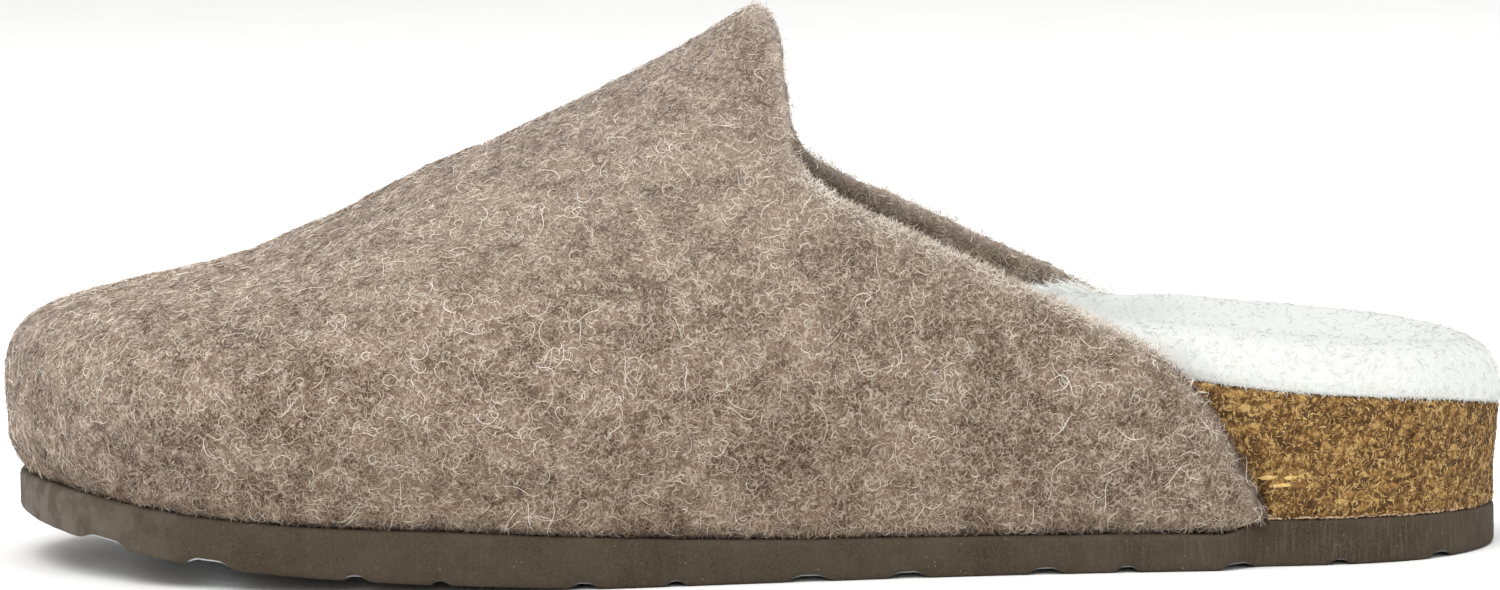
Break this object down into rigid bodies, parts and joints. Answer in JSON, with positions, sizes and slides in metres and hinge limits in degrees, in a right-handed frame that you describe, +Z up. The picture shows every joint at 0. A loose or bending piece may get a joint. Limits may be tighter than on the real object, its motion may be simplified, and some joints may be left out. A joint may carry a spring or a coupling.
{
  "type": "clog slipper",
  "caption": "Backless wool felt clog with a pointed high instep, open heel, white fleece insole, cork footbed and grooved brown foam sole.",
  "frame": {"origin": "middle of the bounding box's underside, on the floor", "axes": "+X from the toe to the heel, +Y towards the inner side of the foot, +Z up"},
  "size_m": [0.2714, 0.1046, 0.0987],
  "materials": {
    "outsole": "matt brown foam",
    "footbed": "matt chipped cork",
    "insole": "white wool fleece",
    "upper": "heather beige-brown wool felt"
  },
  "bodies": {
    "root": {"outsole": "outsole", "footbed": "footbed", "insole": "insole", "upper": "upper"}
  },
  "joints": []
}
